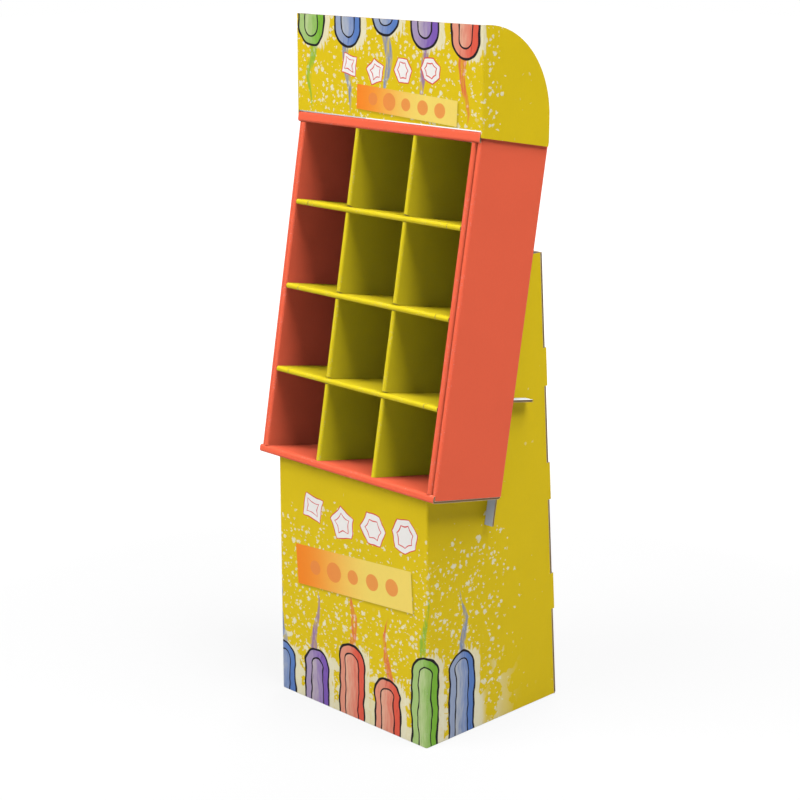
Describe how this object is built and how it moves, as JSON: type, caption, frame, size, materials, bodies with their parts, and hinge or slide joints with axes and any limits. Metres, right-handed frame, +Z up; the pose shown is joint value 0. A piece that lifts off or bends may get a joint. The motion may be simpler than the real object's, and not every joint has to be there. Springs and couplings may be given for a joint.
{
  "type": "cardboard display stand",
  "caption": "Folded corrugated floor display: a leaning tray of open cells on a hollow base, with a support board behind it and a header with rounded wings.",
  "frame": {"origin": "on the floor, at the centre of the bounding box's bottom face", "axes": "+Z up, -Y the front that the cells open to, +X to the right of someone facing the stand's front"},
  "size_m": [0.5096, 0.4098, 1.4042],
  "materials": {
    "yellow_print": "matte litho print on corrugated board, yellow outside and unprinted inside",
    "red_print": "matte litho print on corrugated board, coral red outside and unprinted inside",
    "white_board": "unprinted white liner on corrugated board"
  },
  "bodies": {
    "root": {"base_sleeve": "yellow_print", "base_back": "white_board", "tray_support": "white_board", "tray_wrap": "red_print", "tray_side_left": "red_print", "tray_side_right": "red_print", "side_liner_left": "red_print", "side_liner_right": "red_print", "divider_left": "yellow_print", "divider_right": "yellow_print", "shelf_lower": "yellow_print", "shelf_middle": "yellow_print", "shelf_upper": "yellow_print", "header": "yellow_print"}
  },
  "joints": []
}
